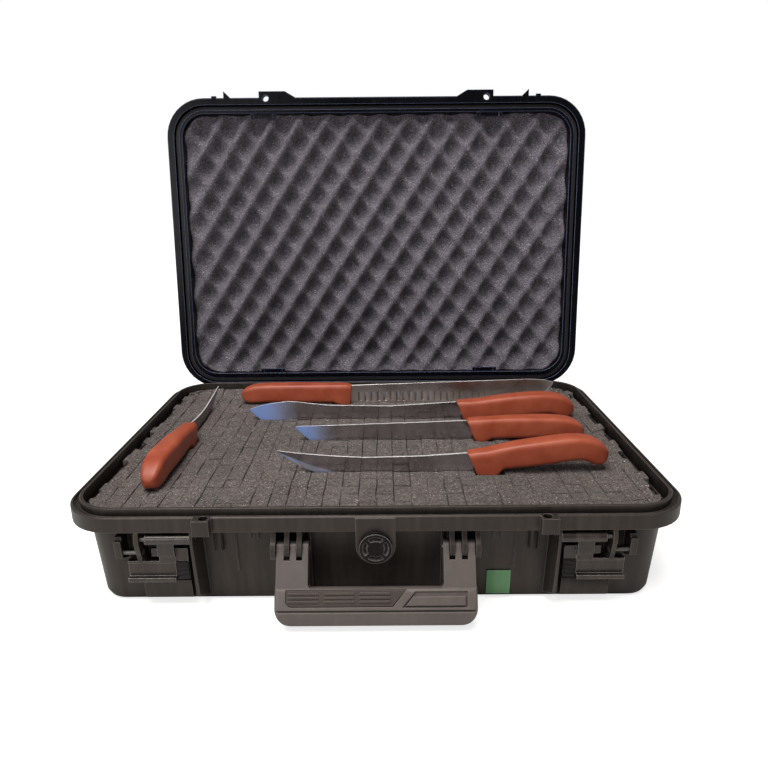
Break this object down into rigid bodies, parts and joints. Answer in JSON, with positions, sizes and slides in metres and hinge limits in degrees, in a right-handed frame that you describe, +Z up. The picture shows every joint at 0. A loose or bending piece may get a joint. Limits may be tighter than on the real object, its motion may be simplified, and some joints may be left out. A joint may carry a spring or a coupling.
{
  "type": "knife case",
  "caption": "Hard shell case with a hinged lid, swing latches, a folding handle and a pressure valve, lined with foam whose slits hold chef knives upright.",
  "frame": {"origin": "centre of the tub's underside", "axes": "+Z up, +X to the right seen from the handle side, +Y from the handle side to the hinges"},
  "size_m": [0.506, 0.4676, 0.44],
  "materials": {
    "shell_plastic": "moulded, finely grained",
    "tub_foam": "open cell foam",
    "lid_foam": "egg-crate open cell foam",
    "seal_rubber": "smooth",
    "knife_grip": "lightly textured",
    "blade_steel": "ground",
    "pin_steel": "drawn",
    "green_plate": "smooth"
  },
  "bodies": {
    "base": {"base_shell": "shell_plastic", "foam_floor_pad": "tub_foam", "foam_block": "tub_foam", "valve_seal": "seal_rubber", "valve_body": "shell_plastic", "valve_nut": "shell_plastic", "label_plate": "green_plate", "hinge_pin_left": "pin_steel", "hinge_pin_right": "pin_steel", "latch_pin_left": "pin_steel", "latch_pin_right": "pin_steel", "handle_pin_left": "pin_steel", "handle_pin_right": "pin_steel", "strap_pin_left": "pin_steel", "strap_pin_right": "pin_steel"},
    "lid": {"lid_shell": "shell_plastic", "lid_gasket": "seal_rubber", "lid_foam": "lid_foam", "foam_clip_1": "shell_plastic", "foam_clip_2": "shell_plastic", "foam_clip_3": "shell_plastic", "foam_clip_4": "shell_plastic"},
    "left_latch": {"latch_left": "shell_plastic", "latch_pad_left": "shell_plastic"},
    "right_latch": {"latch_right": "shell_plastic", "latch_pad_right": "shell_plastic"},
    "handle": {"handle_frame": "shell_plastic", "handle_inlay": "shell_plastic"},
    "cap": {"valve_cap": "shell_plastic"},
    "slicing_knife": {"slicing_knife_blade": "blade_steel", "slicing_knife_handle": "knife_grip"},
    "butcher_knife": {"butcher_knife_blade": "blade_steel", "butcher_knife_handle": "knife_grip"},
    "trimming_knife": {"trimming_knife_blade": "blade_steel", "trimming_knife_handle": "knife_grip"},
    "boning_knife": {"boning_knife_blade": "blade_steel", "boning_knife_handle": "knife_grip"},
    "curved_knife": {"curved_knife_blade": "blade_steel", "curved_knife_handle": "knife_grip"}
  },
  "joints": [
    {"name": "lid_hinge", "type": "hinge", "parent": "base", "child": "lid", "pos_m": [0, 0.176, 0.0825], "axis": [-1, 0, 0], "range_deg": [-96.5, 0], "deforming": ["lid_foam"]},
    {"name": "left_latch_swing", "type": "hinge", "parent": "base", "child": "left_latch", "pos_m": [0, -0.1715, 0.0685], "axis": [1, 0, 0], "range_deg": [-180, 0]},
    {"name": "right_latch_swing", "type": "hinge", "parent": "base", "child": "right_latch", "pos_m": [0, -0.1715, 0.0685], "axis": [1, 0, 0], "range_deg": [-180, 0]},
    {"name": "handle_swing", "type": "hinge", "parent": "base", "child": "handle", "pos_m": [0, -0.168, 0.0583], "axis": [-1, 0, 0], "range_deg": [0, 105]},
    {"name": "valve_turn", "type": "hinge", "parent": "base", "child": "cap", "pos_m": [0, -0.1785, 0.0635], "axis": [0, -1, 0], "range_deg": [0, 180]},
    {"name": "slicing_knife_lift", "type": "slide", "parent": "base", "child": "slicing_knife", "axis": [0, 0, 1], "range_m": [0, 0.09]},
    {"name": "butcher_knife_lift", "type": "slide", "parent": "base", "child": "butcher_knife", "axis": [0, 0, 1], "range_m": [0, 0.09]},
    {"name": "trimming_knife_lift", "type": "slide", "parent": "base", "child": "trimming_knife", "axis": [0, 0, 1], "range_m": [0, 0.09]},
    {"name": "boning_knife_lift", "type": "slide", "parent": "base", "child": "boning_knife", "axis": [0, 0, 1], "range_m": [0, 0.09]},
    {"name": "curved_knife_lift", "type": "slide", "parent": "base", "child": "curved_knife", "axis": [0, 0, 1], "range_m": [0, 0.09]}
  ]
}
